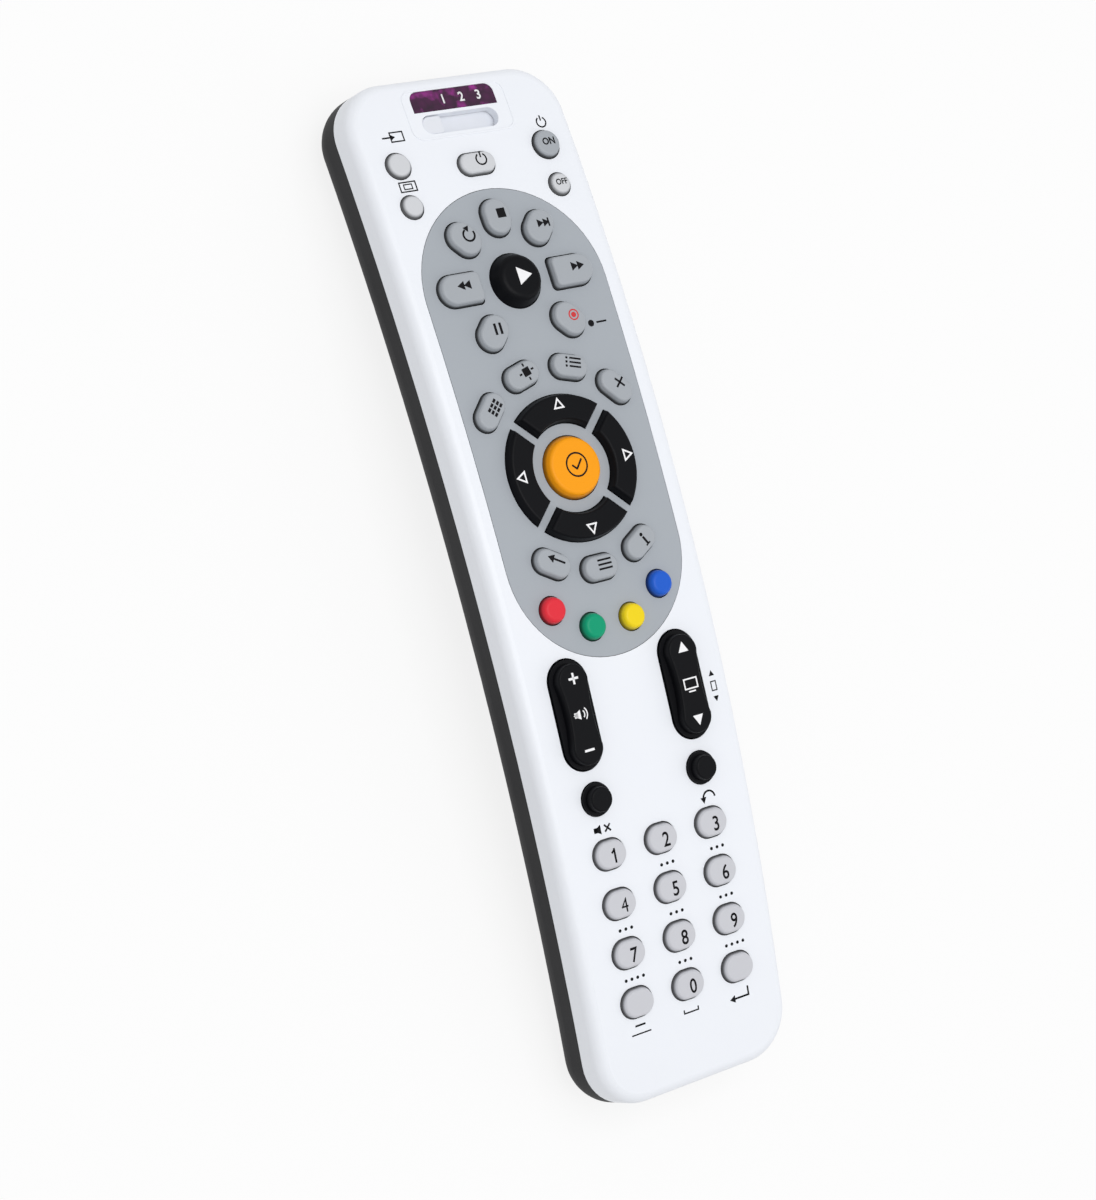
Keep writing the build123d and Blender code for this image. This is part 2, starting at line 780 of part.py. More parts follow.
# Silicone mat with one bump under each key's post
mat_bottom = board_top_height + seat_gap
with BuildPart() as keypad_mat:
    with BuildSketch(Plane.XY.offset(mat_bottom)):
        Rectangle(2 * mat_half_width, 2 * mat_half_length)
        with Locations(*upper_screws):
            Circle(boss_outer_radius + board_notch, mode=Mode.SUBTRACT)
    extrude(amount=mat_thickness - seat_gap)
    for key in shell_keys + panel_keys:
        for post_across, post_rise in key.posts:
            foot = key.plane(post_depth(key.along, post_rise))
            bump_place = foot.from_local_coords((post_across, post_rise, 0))
            with BuildSketch(Plane.XY.offset(board_top_height + mat_thickness)):
                with Locations((bump_place.X, bump_place.Y)):
                    Circle(bump_radius)
            extrude(amount=bump_height)
finish(keypad_mat.part, "keypad_mat")

# Emitter lamp at the end wall
with BuildPart() as infrared_led:
    with BuildSketch(Plane.XZ.offset(-board_emitter_end - seat_gap)):
        with Locations((0, led_height)):
            Circle(led_radius)
    extrude(amount=-(half_length - led_recess - board_emitter_end - seat_gap))
    fillet(infrared_led.faces().sort_by(Axis.Y)[-1].edges(), radius=led_radius * led_dome_share)
finish(infrared_led.part, "infrared_led")

# Mode lamps under the window
with BuildPart() as mode_lamps:
    with BuildSketch(Plane.XY.offset(board_top_height + seat_gap)):
        with GridLocations(lamp_spacing, 0, mode_steps, 1):
            with Locations((0, board_emitter_end - lamp_length)):
                Rectangle(lamp_width, lamp_length)
    extrude(amount=lamp_height)
finish(mode_lamps.part, "mode_lamps")

# Slide switch on the board, with a groove that the knob's lever runs in
switch_place = (face_radius - lever_reach) * math.sin(tilt_at(slot_along))
with BuildPart() as slide_switch:
    with BuildSketch(Plane.XY.offset(board_top_height + seat_gap)):
        with Locations((0, switch_place)):
            Rectangle(switch_length, switch_width)
    extrude(amount=switch_height)
    with BuildSketch(Plane.XY.offset(board_top_height + switch_height - switch_groove_depth)):
        with Locations((0, switch_place)):
            Rectangle(switch_groove_length, switch_groove_width)
    extrude(amount=switch_groove_depth + seat_gap, mode=Mode.SUBTRACT)
finish(slide_switch.part, "slide_switch")

# Battery cells, lying head to tail
with BuildPart() as batteries:
    for side in (-1, 1):
        flat_end = bay_middle + side * (bay_length / 2 - contact_thickness - spring_length)
        with BuildSketch(Plane.XZ.offset(-flat_end)):
            with Locations((side * cell_across, cell_height)):
                Circle(cell_radius)
        extrude(amount=side * cell_length)
        with BuildSketch(Plane.XZ.offset(-flat_end)):
            with Locations((side * cell_across, cell_height)):
                Circle(cell_nub_radius)
        extrude(amount=side * (cell_length + cell_nub_length))
finish(batteries.part, "batteries")

# Battery contacts: a plate at each end of each cell and a coil spring on the flat end
plate_half = cell_radius - cell_clearance
coil_height = spring_length - 2 * spring_wire_radius - 2 * seat_gap
coils = []
for side in (-1, 1):
    plate_face = bay_middle + side * (bay_length / 2 - contact_thickness + seat_gap)
    wire_place = plate_face - side * (spring_wire_radius + seat_gap)
    coil_start = Plane(origin=(side * cell_across, wire_place, cell_height),
                       x_dir=(1, 0, 0), z_dir=(0, -side, 0))
    coil_path = coil_start * Helix(coil_height / spring_turns, coil_height, spring_coil_radius)
    coil_end = Plane(origin=coil_path @ 0, z_dir=coil_path % 0)
    coils.append(sweep(coil_end * Circle(spring_wire_radius), path=coil_path, is_frenet=True))
with BuildPart() as battery_contacts:
    for coil in coils:
        add(coil)
    for side in (-1, 1):
        for end in (-1, 1):
            outer_face = bay_middle + end * (bay_length / 2 - seat_gap)
            with BuildSketch(Plane.XZ.offset(-outer_face)):
                with Locations((side * cell_across, cell_height)):
                    Rectangle(2 * plate_half, 2 * plate_half)
            extrude(amount=end * (contact_thickness - 2 * seat_gap))
finish(battery_contacts.part, "battery_contacts")

# Battery cover with grip grooves
with BuildPart() as battery_cover:
    with BuildSketch(Plane.XY.offset(cover_recess)):
        with Locations((0, bay_middle)):
            Rectangle(2 * (bay_half_width + cover_ledge - cover_gap),
                      bay_length + 2 * (cover_ledge - cover_gap))
    extrude(amount=cover_thickness)
    with BuildSketch(Plane.XY.offset(cover_recess)):
        with Locations((0, bay_middle - bay_length / 2 + cover_rib_count * cover_rib_pitch / 2)):
            with GridLocations(0, cover_rib_pitch, 1, cover_rib_count):
                SlotOverall(cover_rib_length, cover_rib_pitch / 2)
    extrude(amount=cover_rib_depth, mode=Mode.SUBTRACT)
finish(battery_cover.part, "battery_cover")
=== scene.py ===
# %% [markdown]
# A universal remote control is a bowed white shell over a dark back, with a grey panel, forty-odd
# rubber keys and two rockers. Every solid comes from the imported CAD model, so this lesson is about what
# CAD leaves out: finishes, the ink on the keys, the lamp window, light and the camera. The model is
# loaded first, because every later piece is placed in its frame, in metres, with +Z out of the keys.

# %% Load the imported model
import math

import bpy
from mathutils import Matrix


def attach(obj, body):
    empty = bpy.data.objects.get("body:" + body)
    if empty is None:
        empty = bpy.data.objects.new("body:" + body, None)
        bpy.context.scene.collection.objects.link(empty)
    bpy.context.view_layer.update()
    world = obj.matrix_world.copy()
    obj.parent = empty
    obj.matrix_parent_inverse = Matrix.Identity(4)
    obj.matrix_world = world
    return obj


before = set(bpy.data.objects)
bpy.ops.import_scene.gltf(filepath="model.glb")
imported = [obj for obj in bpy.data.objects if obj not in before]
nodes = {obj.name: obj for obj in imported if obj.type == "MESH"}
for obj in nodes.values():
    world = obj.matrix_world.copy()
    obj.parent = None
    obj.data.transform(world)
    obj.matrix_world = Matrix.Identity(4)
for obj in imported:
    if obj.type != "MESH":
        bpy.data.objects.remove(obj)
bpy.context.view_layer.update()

# %% [markdown]
# The photograph looks down from the left of the remote, about a third of a right angle off the face.
# The camera is set before anything is dressed, so that each piece can be judged from there. A long lens
# at arm's length gives the gentle perspective of a product picture.

# %% Camera
mm = 0.001
camera_place = (-317.35, -3.98, 511.57)
camera_turn = (8.943, -30.962, -16.865)
camera_lens = 82.71
camera_sensor = 36.0
camera_near_limit = 0.01

bpy.ops.object.camera_add(
    location=[value * mm for value in camera_place],
    rotation=[math.radians(value) for value in camera_turn],
)
camera = bpy.context.object
camera.name = "portrait_camera"
camera.data.lens = camera_lens
camera.data.sensor_width = camera_sensor
camera.data.clip_start = camera_near_limit
bpy.context.scene.camera = camera
print("camera at", [round(value, 3) for value in camera.location])

# %% [markdown]
# The face is a piece of a very long cylinder. Every key top and every printed mark lies on a plane that
# touches it, so one helper turns "this far across, this far along, this high" into a placement. The
# same named sizes as in the CAD source are repeated here, in millimetres.

# %% Places on the bowed face
body_height = 28.0
face_radius = 602.0
centre_height = body_height - face_radius
nav_along = 22.5
panel_key_height = 1.8
number_key_height = 1.4
small_key_height = 1.0
on_key_height = 1.3
select_height = 2.0
play_height = 2.9
black_height = 2.6


def face_place(across, rise, height=0.0, turn=0.0, shift=(0.0, 0.0)):
    """Placement on the plane that touches the face at a rise from the arrow ring's middle.

    The shift moves a piece within that plane, which is where a flat key top lies.
    """
    tilt = (nav_along + rise) / face_radius
    radius = face_radius + height
    middle = (across * mm, radius * math.sin(tilt) * mm, (centre_height + radius * math.cos(tilt)) * mm)
    upright = Matrix.Rotation(-tilt, 4, "X")
    aside = Matrix.Translation((shift[0] * mm, shift[1] * mm, 0))
    return Matrix.Translation(middle) @ upright @ aside @ Matrix.Rotation(math.radians(turn), 4, "Z")


def ring_place(reach, angle):
    """Across and rise of a place on a ring round the arrow ring's middle."""
    return reach * math.cos(math.radians(angle)), reach * math.sin(math.radians(angle))


print("ring middle:", [round(value, 4) for value in face_place(0, 0).translation])

# %% [markdown]
# Moulded plastic and rubber are never one flat colour: the mould leaves a fine grain, and the batch has
# faint clouds of tone. Most finishes share both, so they are one node group with named inputs, built
# once. Shaders stay in the materials, because only masks and colours may come out of a group.

# %% Helpers for node groups


def new_group(name, inputs, outputs):
    """An empty node group with its sockets, and its two end nodes."""
    group = bpy.data.node_groups.new(name, "ShaderNodeTree")
    for label, value in inputs.items():
        socket = group.interface.new_socket(name=label, in_out="INPUT", socket_type="NodeSocketFloat")
        socket.default_value = value
    for label in outputs:
        group.interface.new_socket(name=label, in_out="OUTPUT", socket_type="NodeSocketFloat")
    start = group.nodes.new("NodeGroupInput")
    end = group.nodes.new("NodeGroupOutput")
    return group, start, end


def add_math(tree, operation, first, second=None):
    """A Math node fed by sockets or plain numbers; gives its output socket."""
    node = tree.nodes.new("ShaderNodeMath")
    node.operation = operation
    for index, value in enumerate((first, second)):
        if value is None:
            continue
        if isinstance(value, (int, float)):
            node.inputs[index].default_value = value
        else:
            tree.links.new(value, node.inputs[index])
    return node.outputs[0]


# %% Moulded grain: a fine height pattern and faint clouds of tone
usual_grain_scale = 2500.0
usual_cloud_scale = 40.0
grain_detail = 3.0
cloud_detail = 4.0
grain_group, grain_in, grain_out = new_group(
    "moulded grain",
    {"Grain scale": usual_grain_scale, "Cloud scale": usual_cloud_scale},
    ["Height", "Clouds"],
)
grain_place = grain_group.nodes.new("ShaderNodeTexCoord")
grain_noise = grain_group.nodes.new("ShaderNodeTexNoise")
grain_noise.inputs["Detail"].default_value = grain_detail
cloud_noise = grain_group.nodes.new("ShaderNodeTexNoise")
cloud_noise.inputs["Detail"].default_value = cloud_detail
grain_group.links.new(grain_place.outputs["Object"], grain_noise.inputs["Vector"])
grain_group.links.new(grain_place.outputs["Object"], cloud_noise.inputs["Vector"])
grain_group.links.new(grain_in.outputs["Grain scale"], grain_noise.inputs["Scale"])
grain_group.links.new(grain_in.outputs["Cloud scale"], cloud_noise.inputs["Scale"])
grain_group.links.new(grain_noise.outputs["Fac"], grain_out.inputs["Height"])
grain_group.links.new(cloud_noise.outputs["Fac"], grain_out.inputs["Clouds"])
print("group:", grain_group.name)

# %% [markdown]
# Round the foot of every key the colour is darkened a little: painted shade, standing in for the shade
# that falls where the key dips into the shell. The group below measures how far a point lies over the
# bowed face, from its Object coordinates alone, and turns that into a soft mask that is 1 at the gap and
# 0 at the key's top. A second mask is 1 just under the face, on the walls of the key holes, for painted
# shade there, and leaves out the casing's own outer sides and ends. It starts a little way down, because
# the flat facets of the meshed face dip slightly under the true cylinder.

# %% Height over the face: masks for painted shade at the foot of each key and on the walls of the holes
inside_half_width = 22.3
inside_half_length = 97.0
wall_start = 0.08
wall_fade = 0.2
foot_fade_height = 1.0
foot_steepness = 1.6
foot_group, foot_in, foot_out = new_group(
    "painted shade at the key foot", {"Fade height": foot_fade_height}, ["Foot", "Under"]
)
foot_place = foot_group.nodes.new("ShaderNodeTexCoord")
foot_axes = foot_group.nodes.new("ShaderNodeSeparateXYZ")
foot_group.links.new(foot_place.outputs["Object"], foot_axes.inputs[0])
drop = add_math(foot_group, "SUBTRACT", foot_axes.outputs["Z"], centre_height * mm)
reach_squared = add_math(
    foot_group,
    "ADD",
    add_math(foot_group, "MULTIPLY", foot_axes.outputs["Y"], foot_axes.outputs["Y"]),
    add_math(foot_group, "MULTIPLY", drop, drop),
)
over_face = add_math(
    foot_group, "SUBTRACT", add_math(foot_group, "SQRT", reach_squared), face_radius * mm
)
in_millimetres = add_math(foot_group, "DIVIDE", over_face, mm)
share_up = add_math(foot_group, "DIVIDE", in_millimetres, foot_in.outputs["Fade height"])
painted_foot_mask = foot_group.nodes.new("ShaderNodeClamp")
share_left = add_math(foot_group, "SUBTRACT", 1.0, share_up)
steep_fall = add_math(foot_group, "MULTIPLY", share_left, foot_steepness)
foot_group.links.new(steep_fall, painted_foot_mask.inputs[0])
foot_group.links.new(painted_foot_mask.outputs[0], foot_out.inputs["Foot"])
in_width = add_math(foot_group, "LESS_THAN", add_math(foot_group, "ABSOLUTE", foot_axes.outputs["X"]),
                    inside_half_width * mm)
in_length = add_math(foot_group, "LESS_THAN", add_math(foot_group, "ABSOLUTE", foot_axes.outputs["Y"]),
                     inside_half_length * mm)
# Mask for the painted shade on the walls of the key holes, just under the face.
painted_wall_mask = foot_group.nodes.new("ShaderNodeClamp")
below_start = add_math(foot_group, "ADD", in_millimetres, wall_start)
foot_group.links.new(add_math(foot_group, "DIVIDE", below_start, -wall_fade), painted_wall_mask.inputs[0])
inside = add_math(foot_group, "MULTIPLY", in_width, in_length)
foot_group.links.new(add_math(foot_group, "MULTIPLY", painted_wall_mask.outputs[0], inside),
                     foot_out.inputs["Under"])
print("group:", foot_group.name)

# %% [markdown]
# One recipe makes most of the finishes. It takes the colour as the photograph's screen value, a darker
# tone for the clouds, how dark the painted shade is at the key's foot and on the hole walls, a roughness,
# and how deep the grain is. Only what changes over the surface is wired; constants sit on the shader's
# own sockets.

# %% The recipe for moulded plastic and rubber


def from_screen(red, green, blue):
    """A screen colour, 0 to 255, as the linear colour that a shader wants, by the sRGB curve."""
    values = []
    for channel in (red, green, blue):
        share = channel / 255
        values.append(share / 12.92 if share <= 0.04045 else ((share + 0.055) / 1.055) ** 2.4)
    return (*values, 1.0)


def place_group(tree, group, **values):
    """Put a shared group into a material with its own values."""
    node = tree.nodes.new("ShaderNodeGroup")
    node.node_tree = group
    for label, value in values.items():
        node.inputs[label.replace("_", " ")].default_value = value
    return node


# A Mix node has sockets for every kind of value, and these are the places of the colours among them.
low_colour_input = 6
high_colour_input = 7
colour_output = 2


def mix_colour(tree, mask, low, high):
    """Mix two colours, given as values or sockets, by a mask; gives the colour socket."""
    node = tree.nodes.new("ShaderNodeMix")
    node.data_type = "RGBA"
    tree.links.new(mask, node.inputs["Factor"])
    for socket, value in ((node.inputs[low_colour_input], low), (node.inputs[high_colour_input], high)):
        if isinstance(value, tuple):
            socket.default_value = value
        else:
            tree.links.new(value, socket)
    return node.outputs[colour_output]


def darker(colour, share):
    """The same colour with a share of its light."""
    return (colour[0] * share, colour[1] * share, colour[2] * share, 1.0)


coat_roughness = 0.12
grain_strength = 0.35


def moulded(name, screen, roughness, grain_depth=0.02, grain_scale=usual_grain_scale, cloud_shade=0.94,
            painted_foot_shade=None, painted_wall_shade=None, coat=0.0, specular=0.5, rough_spread=0.10):
    """A moulded finish: clouds in the colour and gloss, grain in the normal, painted shade at foot and
    walls.
    """
    material = bpy.data.materials.new(name)
    material.use_nodes = True
    tree = material.node_tree
    shader = tree.nodes["Principled BSDF"]
    shader.inputs["Specular IOR Level"].default_value = specular
    shader.inputs["Coat Weight"].default_value = coat
    shader.inputs["Coat Roughness"].default_value = coat_roughness
    colour = from_screen(*screen)
    grain = place_group(tree, grain_group, Grain_scale=grain_scale)
    tone = mix_colour(tree, grain.outputs["Clouds"], colour, darker(colour, cloud_shade))
    # Painted shade: the colour darkened at the key's foot, where shade falls in the gap.
    if painted_foot_shade is not None:
        foot = place_group(tree, foot_group)
        tone = mix_colour(tree, foot.outputs["Foot"], tone, darker(colour, painted_foot_shade))
    # Painted shade on the walls of the key holes, under the face.
    if painted_wall_shade is not None:
        walls = place_group(tree, foot_group)
        tone = mix_colour(tree, walls.outputs["Under"], tone, darker(colour, painted_wall_shade))
    tree.links.new(tone, shader.inputs["Base Color"])
    gloss = tree.nodes.new("ShaderNodeMapRange")
    gloss.inputs["To Min"].default_value = roughness - rough_spread / 2
    gloss.inputs["To Max"].default_value = roughness + rough_spread / 2
    tree.links.new(grain.outputs["Clouds"], gloss.inputs["Value"])
    tree.links.new(gloss.outputs[0], shader.inputs["Roughness"])
    bump = tree.nodes.new("ShaderNodeBump")
    bump.inputs["Strength"].default_value = grain_strength
    bump.inputs["Distance"].default_value = grain_depth * mm
    tree.links.new(grain.outputs["Height"], bump.inputs["Height"])
    tree.links.new(bump.outputs[0], shader.inputs["Normal"])
    return material


# %% Finishes seen in the photograph
# The foot and wall shades below set how dark the painted shade is at the key foot and on the hole walls.
smooth_casing = {"roughness": 0.42, "grain_depth": 0.01, "cloud_shade": 0.985}
satin_rubber = {"roughness": 0.46, "specular": 0.35}
glossy_key = {"roughness": 0.36, "specular": 0.22}
bright_key_shades = {"cloud_shade": 0.95, "painted_foot_shade": 0.28}
ink_grain_depth = 0.005

shell_white = moulded("shell white", (238, 241, 247), painted_wall_shade=0.10, **smooth_casing)
knob_white = moulded("knob white", (226, 229, 236), **smooth_casing)
shell_dark = moulded("back near-black", (38, 38, 40), roughness=0.62, grain_depth=0.05,
                     grain_scale=3500.0, cloud_shade=0.85, specular=0.25)
panel_grey = moulded("panel grey", (166, 172, 179), roughness=0.50, cloud_shade=0.96, painted_wall_shade=0.08)
key_grey = moulded("key grey", (166, 171, 177), cloud_shade=0.96, painted_foot_shade=0.10, **satin_rubber)
key_pale = moulded("key pale", (208, 210, 214), cloud_shade=0.97, painted_foot_shade=0.16, **satin_rubber)
key_number = moulded("number key grey", (202, 203, 209), cloud_shade=0.97, painted_foot_shade=0.14,
                     **satin_rubber)
key_black = moulded("key black", (12, 13, 17), roughness=0.42, grain_depth=0.03, cloud_shade=0.80,
                    specular=0.11)
key_orange = moulded("key orange", (250, 160, 8), roughness=0.44, cloud_shade=0.96, painted_foot_shade=0.35,
                     specular=0.2)
key_red = moulded("key red", (228, 48, 62), **bright_key_shades, **glossy_key)
key_green = moulded("key green", (2, 156, 114), **bright_key_shades, **glossy_key)
key_yellow = moulded("key yellow", (242, 214, 24), cloud_shade=0.96, painted_foot_shade=0.35, **glossy_key)
key_blue = moulded("key blue", (30, 94, 206), **bright_key_shades, **glossy_key)
ink_dark = moulded("dark ink", (12, 12, 16), roughness=0.60, grain_depth=ink_grain_depth, specular=0.15)
ink_white = moulded("white ink", (244, 244, 246), roughness=0.50, grain_depth=ink_grain_depth)
ink_red = moulded("red ink", (205, 40, 44), roughness=0.50, grain_depth=ink_grain_depth)
print("materials so far:", len(bpy.data.materials))

# %% [markdown]
# The lamp window is a strip of smoky violet plastic. Cells of deeper violet vary its dark base, and
# broken magenta glints are painted into it as painted highlights by a band of noise; a clear coat lies
# over both.

# %% Window finish, with painted glints
window_roughness = 0.16
window_coat = 0.15
glint_cell_scale = 520.0
glint_noise_scale = 260.0
glint_noise_detail = 5.0
glint_from = 0.52
glint_to = 0.70
violet_base = from_screen(74, 12, 66)
violet_deep = from_screen(38, 6, 36)
painted_glint_magenta = from_screen(150, 36, 136)

window_violet = bpy.data.materials.new("window violet")
window_violet.use_nodes = True
window_tree = window_violet.node_tree
window_shader = window_tree.nodes["Principled BSDF"]
window_shader.inputs["Roughness"].default_value = window_roughness
window_shader.inputs["Coat Weight"].default_value = window_coat
window_place = window_tree.nodes.new("ShaderNodeTexCoord")
glint_cells = window_tree.nodes.new("ShaderNodeTexVoronoi")
glint_cells.inputs["Scale"].default_value = glint_cell_scale
glint_noise = window_tree.nodes.new("ShaderNodeTexNoise")
glint_noise.inputs["Scale"].default_value = glint_noise_scale
glint_noise.inputs["Detail"].default_value = glint_noise_detail
painted_glint_band = window_tree.nodes.new("ShaderNodeMapRange")
painted_glint_band.inputs["From Min"].default_value = glint_from
painted_glint_band.inputs["From Max"].default_value = glint_to
window_tree.links.new(window_place.outputs["Object"], glint_cells.inputs["Vector"])
window_tree.links.new(window_place.outputs["Object"], glint_noise.inputs["Vector"])
window_tree.links.new(glint_noise.outputs["Fac"], painted_glint_band.inputs["Value"])
cell_tone = mix_colour(window_tree, glint_cells.outputs["Distance"], violet_base, violet_deep)
# The magenta patches are painted highlights mixed into the colour, not a colour of the plastic.
window_tree.links.new(mix_colour(window_tree, painted_glint_band.outputs[0], cell_tone, painted_glint_magenta),
                      window_shader.inputs["Base Color"])

# %% [markdown]
# What is inside the case shows only when the cover is off or the case is opened, but it is finished
# too: laminate with faint copper runs, tinned metal with brush marks, and plain cells with a coloured
# band at the plus end. Metal gets its brush marks from noise stretched along one axis.

# %% Metal with brush marks
brush_line_scale = 900.0
brush_line_shade = 0.7
brush_rough_spread = 0.08
brushed_across = (0.1, 1.0, 1.0)
brushed_upright = (1.0, 1.0, 0.1)


def brushed(name, screen, roughness, stretch):
    """Metal whose roughness and tone follow fine lines, stretched along one axis by a Mapping node."""
    material = bpy.data.materials.new(name)
    material.use_nodes = True
    tree = material.node_tree
    shader = tree.nodes["Principled BSDF"]
    shader.inputs["Metallic"].default_value = 1.0
    place = tree.nodes.new("ShaderNodeTexCoord")
    mapping = tree.nodes.new("ShaderNodeMapping")
    mapping.inputs["Scale"].default_value = stretch
    lines = tree.nodes.new("ShaderNodeTexNoise")
    lines.inputs["Scale"].default_value = brush_line_scale
    tree.links.new(place.outputs["Object"], mapping.inputs["Vector"])
    tree.links.new(mapping.outputs[0], lines.inputs["Vector"])
    colour = from_screen(*screen)
    tree.links.new(mix_colour(tree, lines.outputs["Fac"], colour, darker(colour, brush_line_shade)),
                   shader.inputs["Base Color"])
    gloss = tree.nodes.new("ShaderNodeMapRange")
    gloss.inputs["To Min"].default_value = roughness - brush_rough_spread
    gloss.inputs["To Max"].default_value = roughness + brush_rough_spread
    tree.links.new(lines.outputs["Fac"], gloss.inputs["Value"])
    tree.links.new(gloss.outputs[0], shader.inputs["Roughness"])
    return material


contact_metal = brushed("nickel contact", (205, 203, 198), roughness=0.28, stretch=brushed_across)
switch_metal = brushed("tinned switch", (190, 191, 194), roughness=0.36, stretch=brushed_across)
screw_metal = brushed("zinc screw", (176, 178, 182), roughness=0.38, stretch=brushed_upright)

# %% Small parts inside
clear_resin = {"grain_depth": 0.0, "coat": 0.6}
silicone = moulded("grey silicone", (176, 179, 181), roughness=0.58, cloud_shade=0.92)
chip_black = moulded("chip resin", (34, 34, 36), roughness=0.60, grain_depth=0.03)
led_clear = moulded("emitter resin", (70, 54, 84), roughness=0.10, **clear_resin)
lamp_red = moulded("lamp resin", (190, 36, 40), roughness=0.18, **clear_resin)

# %% Board: green laminate with lighter copper runs in it
copper_run_scale = 260.0
copper_run_width = 0.06
laminate_green = from_screen(30, 100, 60)
laminate_light = from_screen(34, 110, 66)
copper_under_green = from_screen(70, 142, 80)

board_green = moulded("board laminate", (32, 104, 62), roughness=0.42, coat=0.3)
board_tree = board_green.node_tree
board_shader = board_tree.nodes["Principled BSDF"]
board_place = board_tree.nodes.new("ShaderNodeTexCoord")
copper_runs = board_tree.nodes.new("ShaderNodeTexBrick")
copper_runs.inputs["Scale"].default_value = copper_run_scale
copper_runs.inputs["Mortar Size"].default_value = copper_run_width
copper_runs.inputs["Color1"].default_value = laminate_green
copper_runs.inputs["Color2"].default_value = laminate_light
copper_runs.inputs["Mortar"].default_value = copper_under_green
board_tree.links.new(board_place.outputs["Object"], copper_runs.inputs["Vector"])
board_tree.links.new(copper_runs.outputs["Color"], board_shader.inputs["Base Color"])

# %% Cell wrap: a plain dark sleeve with a copper band
sleeve_dark = (40, 42, 48)
band_copper = (186, 116, 62)
bay_middle = -22.0
band_half_length = 12.0

cell_wrap = moulded("cell wrap", sleeve_dark, roughness=0.30, grain_depth=0.0, coat=0.4)
wrap_tree = cell_wrap.node_tree
wrap_shader = wrap_tree.nodes["Principled BSDF"]
wrap_place = wrap_tree.nodes.new("ShaderNodeTexCoord")
wrap_axes = wrap_tree.nodes.new("ShaderNodeSeparateXYZ")
wrap_tree.links.new(wrap_place.outputs["Object"], wrap_axes.inputs[0])
from_middle = add_math(wrap_tree, "SUBTRACT", wrap_axes.outputs["Y"], bay_middle * mm)
side_sign = add_math(wrap_tree, "SIGN", wrap_axes.outputs["X"])
along_cell = add_math(wrap_tree, "MULTIPLY", from_middle, side_sign)
plus_end = add_math(wrap_tree, "GREATER_THAN", along_cell, band_half_length * mm)
wrap_tree.links.new(
    mix_colour(wrap_tree, plus_end, from_screen(*sleeve_dark), from_screen(*band_copper)),
    wrap_shader.inputs["Base Color"],
)
print("materials:", len(bpy.data.materials))

# %% [markdown]
# Each CAD node now takes its finish. The mesh is left alone: only the material slot changes. Keys that
# share a colour are named together, so the list reads like the object.

# %% Give every CAD node its finish


def dress(material, *names):
    """Put one material on each named CAD node."""
    for name in names:
        piece = nodes[name]
        piece.data.materials.clear()
        piece.data.materials.append(material)


dress(shell_white, "upper_shell")
dress(knob_white, "mode_slider")
dress(shell_dark, "lower_shell", "battery_cover")
dress(panel_grey, "face_panel")
dress(window_violet, "mode_window")
dress(key_grey, "key_on", "key_replay", "key_stop", "key_skip", "key_rewind", "key_forward",
      "key_pause", "key_record", "key_guide", "key_active", "key_list", "key_exit", "key_back",
      "key_menu", "key_info")
dress(key_pale, "key_input", "key_format", "key_power", "key_off")
dress(key_number, *["key_" + mark for mark in "0123456789"], "key_dash", "key_enter")
dress(key_black, "key_play", "key_up", "key_down", "key_left", "key_right", "key_mute",
      "key_previous", "volume_rocker", "channel_rocker")
dress(key_orange, "key_select")
dress(key_red, "key_red")
dress(key_green, "key_green")
dress(key_yellow, "key_yellow")
dress(key_blue, "key_blue")
dress(silicone, "keypad_mat")
dress(board_green, "circuit_board")
dress(chip_black, "controller_chip")
dress(led_clear, "infrared_led")
dress(lamp_red, "mode_lamps")
dress(switch_metal, "slide_switch")
dress(contact_metal, "battery_contacts")
dress(cell_wrap, "batteries")
dress(screw_metal, "housing_screws")

# %% [markdown]
# Keys are marked by silk-screen printing: a film of ink with sharp edges, a few hundredths of a
# millimetre thick. A texture would blur close up, so each mark is real geometry. It is drawn flat from
# simple strokes, joined, given the film's thickness, and laid on its key. Plain signs are used wherever
# one will do, so that anyone can read them. A stroke is given as on squared paper, in millimetres from
# the middle of its mark: across, up, its size, and its turn in degrees.

# %% Strokes that the marks are drawn from
disc_corners = 32
arc_steps = 24
text_resolution = 4
usual_bolder = 0.06


def clear_selection():
    """Nothing selected, so that an operator touches only what is picked next."""
    bpy.ops.object.select_all(action="DESELECT")


def bar(x, y, width, height, turn=0.0):
    """A flat rectangle."""
    clear_selection()
    bpy.ops.mesh.primitive_plane_add(size=mm, location=(x * mm, y * mm, 0),
                                     rotation=(0, 0, math.radians(turn)))
    stroke = bpy.context.object
    stroke.scale = (width, height, 1)
    return stroke


def disc(x, y, radius, corners=disc_corners, turn=0.0):
    """A filled circle, or a regular shape with its first corner pointing up."""
    clear_selection()
    bpy.ops.mesh.primitive_circle_add(vertices=corners, radius=radius * mm, fill_type="NGON",
                                      location=(x * mm, y * mm, 0), rotation=(0, 0, math.radians(turn)))
    return bpy.context.object


def triangle(x, y, reach, turn=0.0):
    """A triangle that points up, or turned from there."""
    return disc(x, y, reach, corners=3, turn=turn)


def hollow(stroke, line):
    """Inset the stroke's face and take its middle out, which leaves an outline."""
    clear_selection()
    stroke.select_set(True)
    bpy.context.view_layer.objects.active = stroke
    bpy.ops.object.transform_apply(location=True, rotation=True, scale=True)
    bpy.ops.object.mode_set(mode="EDIT")
    bpy.ops.mesh.select_all(action="SELECT")
    bpy.ops.mesh.inset(thickness=line * mm)
    bpy.ops.mesh.delete(type="FACE")
    bpy.ops.object.mode_set(mode="OBJECT")
    return stroke


